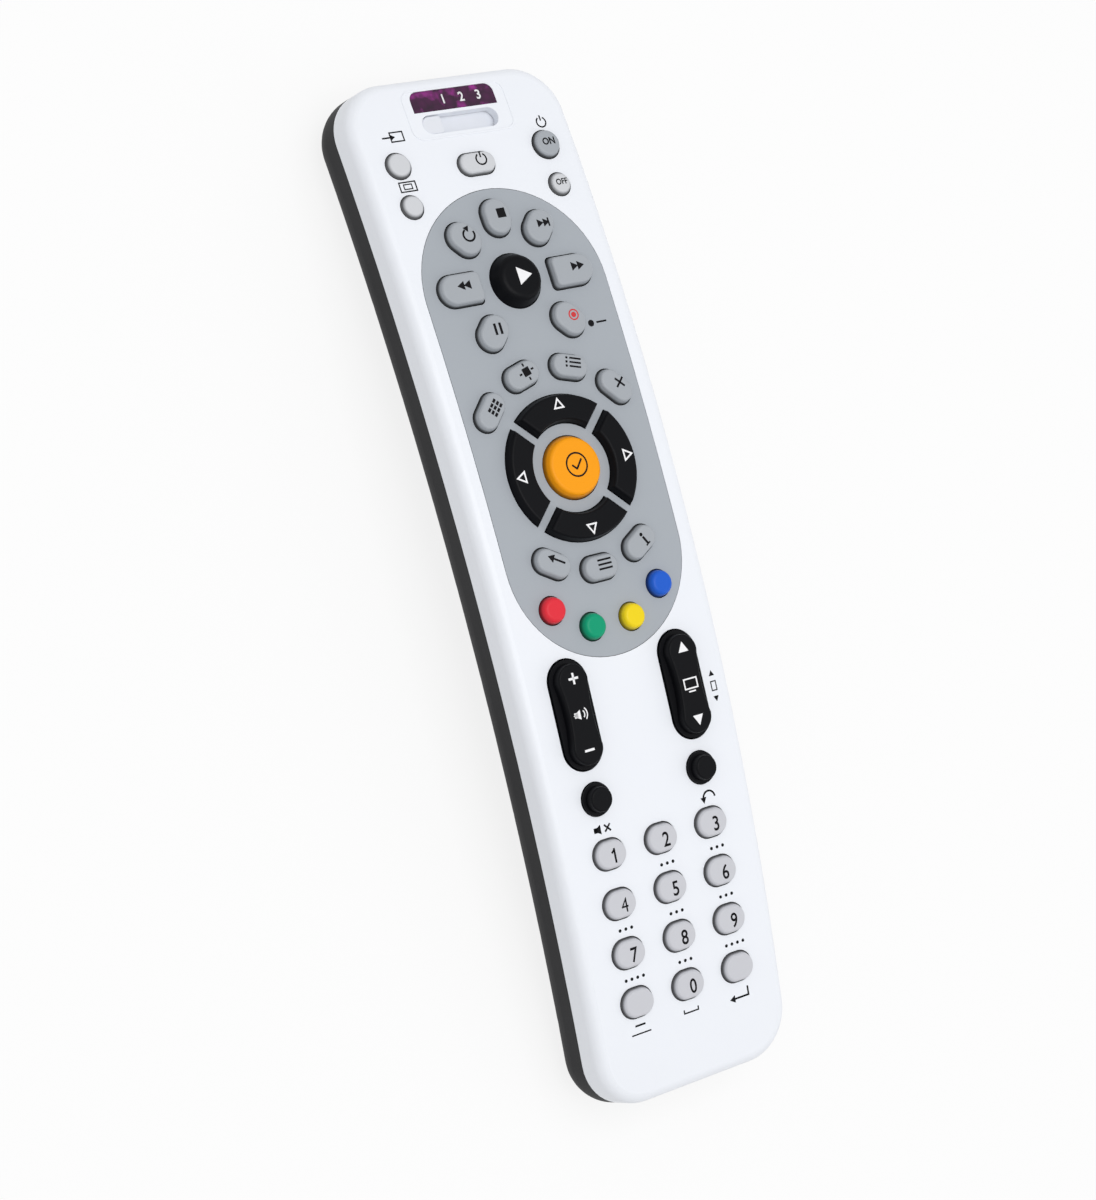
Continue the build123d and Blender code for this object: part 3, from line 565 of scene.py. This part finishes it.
def arc(x, y, radius, line, start, sweep):
    """A curved stroke: a short edge spun round a centre."""
    clear_selection()
    bpy.ops.mesh.primitive_plane_add(size=line * mm, location=(radius * mm, -line / 2 * mm, 0))
    stroke = bpy.context.object
    bpy.ops.object.transform_apply(location=True, rotation=True, scale=True)
    bpy.ops.object.mode_set(mode="EDIT")
    bpy.ops.mesh.select_all(action="DESELECT")
    bpy.ops.mesh.select_mode(type="VERT")
    bpy.ops.object.mode_set(mode="OBJECT")
    for corner in stroke.data.vertices:
        corner.select = corner.co.y < -line / 2 * mm
    bpy.ops.object.mode_set(mode="EDIT")
    bpy.ops.mesh.delete(type="VERT")
    bpy.ops.mesh.select_all(action="SELECT")
    bpy.ops.mesh.spin(steps=arc_steps, angle=math.radians(sweep), center=(0, 0, 0), axis=(0, 0, -1))
    bpy.ops.object.mode_set(mode="OBJECT")
    stroke.rotation_euler.z = math.radians(start)
    stroke.location = (x * mm, y * mm, 0)
    return stroke


def lettering(text, size, width_share=0.92, bolder=usual_bolder):
    """Numerals or a plain word, as a flat centred mesh, with its strokes made bolder."""
    clear_selection()
    bpy.ops.object.text_add(location=(0, 0, 0))
    stroke = bpy.context.object
    stroke.data.body = text
    stroke.data.size = size * mm
    stroke.data.align_x = "CENTER"
    stroke.data.align_y = "CENTER"
    stroke.data.resolution_u = text_resolution
    stroke.data.offset = bolder * mm
    stroke.scale = (width_share, 1, 1)
    bpy.ops.object.convert(target="MESH")
    return bpy.context.object


# %% Lay a mark on the face
ink_thickness = 0.03
ink_sink = 0.01
weld_distance_metres = 0.000002
marks = []


def lay_mark(name, strokes, across, rise, height, body, ink, turn=0.0, shift=(0.0, 0.0)):
    """Join the strokes, give them the film's thickness, lay them on the face and fix them to a body."""
    clear_selection()
    for stroke in strokes:
        stroke.select_set(True)
    bpy.context.view_layer.objects.active = strokes[0]
    if len(strokes) > 1:
        bpy.ops.object.join()
    mark = bpy.context.view_layer.objects.active
    mark.name = name
    mark.data.name = name
    bpy.ops.object.transform_apply(location=True, rotation=True, scale=True)
    bpy.ops.object.mode_set(mode="EDIT")
    bpy.ops.mesh.select_all(action="SELECT")
    bpy.ops.mesh.remove_doubles(threshold=weld_distance_metres)
    bpy.ops.object.mode_set(mode="OBJECT")
    for face in mark.data.polygons:
        if face.normal.z < 0:
            face.flip()
    film = mark.modifiers.new("film", "SOLIDIFY")
    film.thickness = ink_thickness * mm
    film.offset = 1.0
    bpy.ops.object.modifier_apply(modifier="film")
    mark.matrix_world = face_place(across, rise, height - ink_sink, turn, shift)
    bpy.ops.object.transform_apply(location=True, rotation=True, scale=True)
    mark.data.materials.clear()
    mark.data.materials.append(ink)
    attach(mark, body)
    marks.append(mark)


def dark_mark(name, strokes, across, rise, height, body, turn=0.0, shift=(0.0, 0.0)):
    """A mark in dark ink."""
    lay_mark(name, strokes, across, rise, height, body, ink_dark, turn, shift)


def white_mark(name, strokes, across, rise, height, body, turn=0.0, shift=(0.0, 0.0)):
    """A mark in white ink."""
    lay_mark(name, strokes, across, rise, height, body, ink_white, turn, shift)


def shell_label(name, strokes, place):
    """A mark in dark ink on the shell or the panel, beside its key."""
    dark_mark(name, strokes, *place, 0, "casing")


# %% [markdown]
# The numerals come first. On the real keys the ink sits a little to the right of the middle, and that
# small shift is kept. The strokes are made a little bolder than the font's, except those of the 4, whose
# eye would fill.

# %% Numerals on the number keys
number_column_pitch = 13.3
number_row_pitch = 10.65
number_first_drop = 80.2
numeral_size = 4.4
numeral_width_share = 0.85
numeral_shift = 0.6
numeral_drop = 0.5
stroke_line = 0.42
one_flag_place = (-0.35, 1.1)
one_flag_length = 1.0
one_flag_turn = 40
four_bolder = 0.0

for row, row_marks in enumerate(("123", "456", "789", " 0 ")):
    for column, numeral in enumerate(row_marks):
        if numeral == " ":
            continue
        bolder = four_bolder if numeral == "4" else usual_bolder
        strokes = [lettering(numeral, numeral_size, numeral_width_share, bolder)]
        if numeral == "1":
            strokes.append(bar(*one_flag_place, one_flag_length, stroke_line, one_flag_turn))
        dark_mark("numeral_" + numeral, strokes, (column - 1) * number_column_pitch,
                  -number_first_drop - row * number_row_pitch, number_key_height,
                  "key_" + numeral + "_body", shift=(numeral_shift, -numeral_drop))
print("marks:", len(marks))

# %% [markdown]
# Under the number keys stand small groups of dots in dark ink: three of them, or four under the 7 and
# the 9. A disc is drawn for each dot, and the group is joined into one mark.

# %% Dots under the number keys
dot_radius = 0.36
dot_pitch = 1.5
dot_drop = 5.6
key_dots = {"2": 3, "3": 3, "4": 3, "5": 3, "6": 3, "7": 4, "8": 3, "9": 4}

for row, row_marks in enumerate(("123", "456", "789")):
    for column, numeral in enumerate(row_marks):
        if numeral not in key_dots:
            continue
        count = key_dots[numeral]
        dots = [disc((index - (count - 1) / 2) * dot_pitch, 0, dot_radius) for index in range(count)]
        dots_across = (column - 1) * number_column_pitch + numeral_shift
        dots_rise = -number_first_drop - row * number_row_pitch - dot_drop
        shell_label("dots_" + numeral, dots, (dots_across, dots_rise))

# %% Signs under the last row of keys
dash_label_place = (-number_column_pitch, -118.0)
space_label_place = (0, -118.2)
enter_label_place = (number_column_pitch, -118.4)
shell_label("dash_sign", [bar(0, 0.9, 2.6, stroke_line), bar(0, -0.9, 5.0, 0.3)], dash_label_place)
shell_label("space_sign", [bar(0, 0, 4.0, 0.32), bar(-1.85, 0.4, 0.32, 0.8), bar(1.85, 0.4, 0.32, 0.8)],
            space_label_place)
shell_label("enter_sign", [bar(0.2, -0.5, 4.0, stroke_line), bar(2.0, 0.45, stroke_line, 2.0),
                           triangle(-2.1, -0.5, 0.95, 90)], enter_label_place)

# %% [markdown]
# The playback signs are the ones every player shares: a triangle for play, a square for stop, bars for
# pause, double triangles for winding, a bent arrow for replay and a ring for record.

# %% Playback signs
play_rise = 41.3
playback_reach = 14.1
playback_angles = {"stop": 90, "replay": 132, "skip": 48, "pause": 227, "record": 313, "rewind": 180,
                   "forward": 0}
sign_shift = (0.8, 0.5)
record_label_place = (17.0, 29.3)


def playback_sign(name, strokes, key, ink=ink_dark):
    """A sign on one of the keys that stand round the play key."""
    across, rise = ring_place(playback_reach, playback_angles[key])
    lay_mark(name, strokes, across, play_rise + rise, panel_key_height, "key_" + key + "_body", ink,
             shift=sign_shift)


white_mark("play_sign", [triangle(0.4, 0.2, 2.3, -90)], 0, play_rise, play_height, "key_play_body")
playback_sign("stop_sign", [bar(0, 0, 2.1, 2.1)], "stop")
playback_sign("pause_sign", [bar(-0.65, 0, 0.6, 2.5), bar(0.65, 0, 0.6, 2.5)], "pause")
playback_sign("replay_sign", [arc(0, 0, 1.35, 0.45, 120, 270), triangle(-0.2, 1.45, 0.85, 75)], "replay")
playback_sign("skip_sign", [triangle(-0.95, 0, 1.05, -90), triangle(0.55, 0, 1.05, -90),
                            bar(1.35, 0, 0.4, 1.9)], "skip")
playback_sign("rewind_sign", [triangle(0.7, 0, 1.15, 90), triangle(-0.85, 0, 1.15, 90)], "rewind")
playback_sign("forward_sign", [triangle(-0.7, 0, 1.15, -90), triangle(0.85, 0, 1.15, -90)], "forward")
playback_sign("record_ring", [hollow(disc(0, 0, 1.25), 0.3)], "record", ink_red)
playback_sign("record_dot", [disc(0, 0, 0.6)], "record", ink_red)
shell_label("record_label", [disc(-1.7, 0, 0.75), bar(1.0, 0, 2.6, 0.4)], record_label_place)

# %% [markdown]
# Round the arrow ring stand keys for menus. Each sign leans with its key, apart from the cross, which
# isn't turned: leaning with its key it would look like a plus sign.

# %% Signs on the menu keys
menu_key_reach = 21.8
menu_key_angles = {"guide": 137, "active": 106, "list": 74, "exit": 43, "back": 239, "menu": 270,
                   "info": 301}
menu_sign_turns = {"guide": 47, "active": 16, "list": -16, "exit": 0, "back": -31, "menu": 0, "info": 31}


def menu_sign(key, strokes):
    """A sign on one of the menu keys, with its own turn."""
    across, rise = ring_place(menu_key_reach, menu_key_angles[key])
    dark_mark(key + "_sign", strokes, across, rise, panel_key_height, "key_" + key + "_body",
              menu_sign_turns[key], sign_shift)


menu_sign("guide", [bar(x, y, 0.9, 0.6) for x in (-1.2, 0, 1.2) for y in (-0.9, 0, 0.9)])
menu_sign("active", [disc(0, 0, 1.3, corners=4, turn=45), bar(0, 1.6, 0.4, 0.7), bar(0, -1.6, 0.4, 0.7),
                     bar(1.6, 0, 0.7, 0.4), bar(-1.6, 0, 0.7, 0.4)])
menu_sign("list", [bar(0.4, y, 2.8, 0.4) for y in (-0.9, 0, 0.9)]
          + [disc(-1.7, y, 0.28) for y in (-0.9, 0, 0.9)])
menu_sign("exit", [bar(0, 0, 2.8, 0.45, 45), bar(0, 0, 2.8, 0.45, -45)])
menu_sign("back", [triangle(-1.35, 0, 1.05, 90), bar(0.6, 0, 2.8, 0.45)])
menu_sign("menu", [bar(0, y, 3.4, stroke_line) for y in (-0.95, 0, 0.95)])
menu_sign("info", [disc(0, 1.15, 0.4), bar(0, -0.4, 0.55, 1.9), bar(0, -1.4, 1.3, 0.3)])

# %% Arrows on the ring and the centre key's sign
arrow_reach = 13.3
arrow_size = 1.65
arrow_line = 0.36
arrow_angles = {"right": 0, "up": 90, "left": 180, "down": 270}
select_sign_place = (0.3, 0.2)
for arrow_name, angle in arrow_angles.items():
    white_mark("arrow_" + arrow_name, [hollow(triangle(0, 0, arrow_size, angle - 90), arrow_line)],
               0, 0, panel_key_height, "key_" + arrow_name + "_body",
               shift=ring_place(arrow_reach, angle))
dark_mark("select_sign", [hollow(disc(0, 0, 2.7), 0.38), bar(-0.65, -0.45, 1.5, stroke_line, -45),
                          bar(0.6, 0.05, 2.6, stroke_line, 50)],
          *select_sign_place, select_height, "key_select_body")
print("marks:", len(marks))

# %% [markdown]
# The rockers say plus and minus, up and down, with a small sign between that tells sound from channel.
# The two round black keys have their signs below them on the shell.

# %% Signs for the rockers and the round black keys
rocker_places = {"volume": (-14.2, -50.2), "channel": (14.2, -50.2)}
rocker_sign_reach = 7.6
speaker_scale = 1.1
mute_label_place = (-13.4, -74.7)
previous_label_place = (14.0, -74.4)
page_label_place = (21.7, -52.3)


def rocker_sign(name, strokes, rocker, reach=0):
    """A white sign on a rocker, at its middle or that far towards one of its ends."""
    white_mark(name, strokes, *rocker_places[rocker], black_height, rocker + "_rocker_body",
               shift=(0, reach))


def speaker(scale):
    """A little loudspeaker: a box, a horn and two waves."""
    return [bar(-1.2 * scale, 0, 0.8 * scale, 1.0 * scale), triangle(-0.75 * scale, 0, 1.1 * scale, 90),
            arc(-0.2 * scale, 0, 0.9 * scale, 0.25 * scale, -45, 90),
            arc(-0.2 * scale, 0, 1.5 * scale, 0.25 * scale, -45, 90)]


rocker_sign("plus_sign", [bar(0, 0, 2.4, 0.5), bar(0, 0, 0.5, 2.4)], "volume", rocker_sign_reach)
rocker_sign("sound_sign", speaker(speaker_scale), "volume")
rocker_sign("minus_sign", [bar(0, 0, 2.4, 0.5)], "volume", -rocker_sign_reach)
rocker_sign("up_sign", [triangle(0, 0, 1.5)], "channel", rocker_sign_reach)
rocker_sign("screen_sign", [hollow(bar(0, 0, 3.6, 2.4), 0.32), bar(0, -1.7, 1.8, 0.32)], "channel")
rocker_sign("down_sign", [triangle(0, 0, 1.5, 180)], "channel", -rocker_sign_reach)
shell_label("mute_sign", [bar(-1.9, 0, 0.9, 1.1), triangle(-1.2, 0, 1.2, 90), bar(1.1, 0, 2.1, 0.4, 45),
                          bar(1.1, 0, 2.1, 0.4, -45)], mute_label_place)
shell_label("previous_sign", [arc(0.4, -0.7, 1.5, stroke_line, 0, 180), triangle(-1.1, -0.8, 0.9, 180)],
            previous_label_place)
shell_label("page_sign", [triangle(0, 2.6, 0.8), hollow(bar(0, 0, 1.5, 2.2), 0.25),
                          triangle(0, -2.6, 0.8, 180)], page_label_place)

# %% [markdown]
# At the emitter end the keys switch the set and choose its input and picture format. ON and OFF are
# plain switch words, set as text; the rest are signs drawn from strokes.

# %% Signs at the emitter end
input_label_place = (-17.1, 76.4)
format_label_place = (-18.0, 65.2)
power_label_place = (19.6, 75.1)
power_key_place = (0, 67.9)
on_key_place = (18.7, 69.9)
on_word_size = 2.2
on_word_shift = (0.2, 0.2)
off_key_place = (18.7, 60.6)
off_word_size = 1.85
off_word_bolder = 0.04
off_word_shift = (0.15, 0.2)


def power_symbol(radius, line):
    """The broken circle with a stroke at its top."""
    return [arc(0, 0, radius, line, 120, 300), bar(0, radius * 0.85, line, radius * 1.1)]


shell_label("input_sign", [hollow(bar(0.5, 0, 3.4, 2.4), 0.3), bar(-2.0, 0, 2.2, 0.36),
                           triangle(-0.7, 0, 0.8, -90)], input_label_place)
shell_label("format_sign", [hollow(bar(0, 0, 4.2, 2.4), 0.3), hollow(bar(0, 0, 2.2, 1.3), 0.25)],
            format_label_place)
shell_label("power_label", power_symbol(1.15, 0.34), power_label_place)
dark_mark("power_sign", power_symbol(1.25, 0.36), *power_key_place, on_key_height, "key_power_body",
          shift=sign_shift)
dark_mark("on_word", [lettering("ON", on_word_size)], *on_key_place, on_key_height, "key_on_body",
          shift=on_word_shift)
dark_mark("off_word", [lettering("OFF", off_word_size, bolder=off_word_bolder)], *off_key_place,
          small_key_height, "key_off_body", shift=off_word_shift)

# %% Numerals in the lamp window
window_rise = 83.3
window_numeral_size = 3.0
window_numerals = {"1": -2.4, "2": 2.2, "3": 6.5}
for window_numeral, across in window_numerals.items():
    white_mark("window_" + window_numeral, [lettering(window_numeral, window_numeral_size)], across,
               window_rise, 0, "casing")
print("marks in all:", len(marks))

# %% [markdown]
# Round the window and the slot runs a shallow moulded bead. It starts as a plane, its corners are
# rounded by a vertex bevel, its middle is taken out by an inset, and the band that is left is given
# height and a soft edge.

# %% Bead round the window and the slot
bead_length = 26.0
bead_width = 11.6
bead_across = 0.4
bead_rise = 80.4
bead_corner = 2.6
bead_line = 0.5
bead_height = 0.12
bead_corner_steps = 10
bead_edge_share = 0.8
bead_edge_steps = 3
smooth_under = 40

bead = bar(0, 0, bead_length, bead_width)
bpy.ops.object.transform_apply(location=True, rotation=True, scale=True)
bpy.ops.object.mode_set(mode="EDIT")
bpy.ops.mesh.select_all(action="SELECT")
bpy.ops.mesh.bevel(offset=bead_corner * mm, segments=bead_corner_steps, affect="VERTICES")
bpy.ops.object.mode_set(mode="OBJECT")
bead = hollow(bead, bead_line)
bead.name = "window_bead"
bead_film = bead.modifiers.new("height", "SOLIDIFY")
bead_film.thickness = 2 * bead_height * mm
bead_film.offset = 0.0
bpy.ops.object.modifier_apply(modifier="height")
bead_edge = bead.modifiers.new("soft edge", "BEVEL")
bead_edge.width = bead_height * bead_edge_share * mm
bead_edge.segments = bead_edge_steps
bpy.ops.object.modifier_apply(modifier="soft edge")
bead.matrix_world = face_place(bead_across, bead_rise)
bpy.ops.object.transform_apply(location=True, rotation=True, scale=True)
bpy.ops.object.shade_smooth_by_angle(angle=math.radians(smooth_under))
bead.data.materials.clear()
bead.data.materials.append(shell_white)
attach(bead, "casing")
print("bead faces:", len(bead.data.polygons))

# %% [markdown]
# On the back the battery cover carries an arrow that shows which way it slides. It is raised plastic,
# so it is an extruded triangle with a bevelled edge, sunk a little into the cover, clear of the grip
# grooves.

# %% Arrow on the battery cover
arrow_middle = -27.0
cover_recess = 0.2
raised_height = 0.15
arrow_radius = 3.0
arrow_turn = 180
arrow_edge_width = 0.08
arrow_edge_steps = 2

clear_selection()
bpy.ops.mesh.primitive_cylinder_add(vertices=3, radius=arrow_radius * mm, depth=2 * raised_height * mm,
                                    location=(0, arrow_middle * mm, cover_recess * mm),
                                    rotation=(0, 0, math.radians(arrow_turn)))
cover_arrow = bpy.context.object
cover_arrow.name = "cover_arrow"
bpy.ops.object.transform_apply(location=True, rotation=True, scale=True)
arrow_edge = cover_arrow.modifiers.new("soft edge", "BEVEL")
arrow_edge.width = arrow_edge_width * mm
arrow_edge.segments = arrow_edge_steps
bpy.ops.object.modifier_apply(modifier="soft edge")
cover_arrow.data.materials.append(shell_dark)
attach(cover_arrow, "battery_cover_body")

# %% [markdown]
# The remote lies on a pale floor. In the photograph the ground is pure white with no horizon, so for
# rays that come straight from the camera, or by way of a reflection, the floor is lifted towards white
# with Light Path, and the rest of its light is real, which keeps the shadow. It is forty metres wide, so
# that its far edge stays out of all but the lowest views.

# %% Floor
floor_size = 40.0
floor_gap = 0.02
paper_tone = (0.86, 0.86, 0.86, 1.0)
paper_roughness = 0.9
pure_white = (1.0, 1.0, 1.0, 1.0)
white_share = 0.84


def seen_directly(tree):
    """1 for rays from the camera, in a reflection or through clear plastic, and 0 for the rest."""
    path = tree.nodes.new("ShaderNodeLightPath")
    seen = add_math(tree, "MAXIMUM", path.outputs["Is Camera Ray"], path.outputs["Is Glossy Ray"])
    return add_math(tree, "MAXIMUM", seen, path.outputs["Is Transmission Ray"])


clear_selection()
bpy.ops.mesh.primitive_plane_add(size=floor_size, location=(0, 0, -floor_gap * mm))
floor = bpy.context.object
floor.name = "studio_floor"
floor_paper = bpy.data.materials.new("white paper")
floor_paper.use_nodes = True
floor_tree = floor_paper.node_tree
paper_shader = floor_tree.nodes["Principled BSDF"]
paper_shader.inputs["Base Color"].default_value = paper_tone
paper_shader.inputs["Roughness"].default_value = paper_roughness
paper_glow = floor_tree.nodes.new("ShaderNodeEmission")
paper_glow.inputs["Color"].default_value = pure_white
paper_glow.inputs["Strength"].default_value = 1.0
paper_mix = floor_tree.nodes.new("ShaderNodeMixShader")
floor_tree.links.new(add_math(floor_tree, "MULTIPLY", seen_directly(floor_tree), white_share),
                     paper_mix.inputs[0])
floor_tree.links.new(paper_shader.outputs[0], paper_mix.inputs[1])
floor_tree.links.new(paper_glow.outputs[0], paper_mix.inputs[2])
floor_tree.links.new(paper_mix.outputs[0], floor_tree.nodes["Material Output"].inputs["Surface"])
floor.data.materials.append(floor_paper)

# %% [markdown]
# The light is a bright, even sky with one large soft lamp almost overhead. The face gets the most light,
# so the long wall towards the camera falls a step darker, as it does in the photograph. A lamp on the
# right would mirror in the glossy tops and wash out their colour, so the one there is weak. The sky is
# left at one strength for every ray, because a whiter one would mirror in the black keys.

# %% World and lamps
sky_strength = 0.58
world = bpy.data.worlds.new("soft studio")
bpy.context.scene.world = world
world.use_nodes = True
sky_light = world.node_tree.nodes["Background"]
sky_light.inputs["Color"].default_value = pure_white
sky_light.inputs["Strength"].default_value = sky_strength


def soft_lamp(name, place, turn, size, power):
    """A square area lamp: place and size in metres, turn in degrees, power in watts."""
    bpy.ops.object.light_add(type="AREA", location=place,
                             rotation=[math.radians(value) for value in turn])
    lamp = bpy.context.object
    lamp.name = name
    lamp.data.size = size
    lamp.data.energy = power


soft_lamp("key_lamp", place=(-0.05, 0.08, 1.10), turn=(-4, -3, 0), size=0.8, power=5.9)
soft_lamp("fill_lamp", place=(0.9, -0.5, 0.7), turn=(28, 50, 0), size=0.6, power=1.2)
bpy.context.scene.view_settings.view_transform = "Standard"
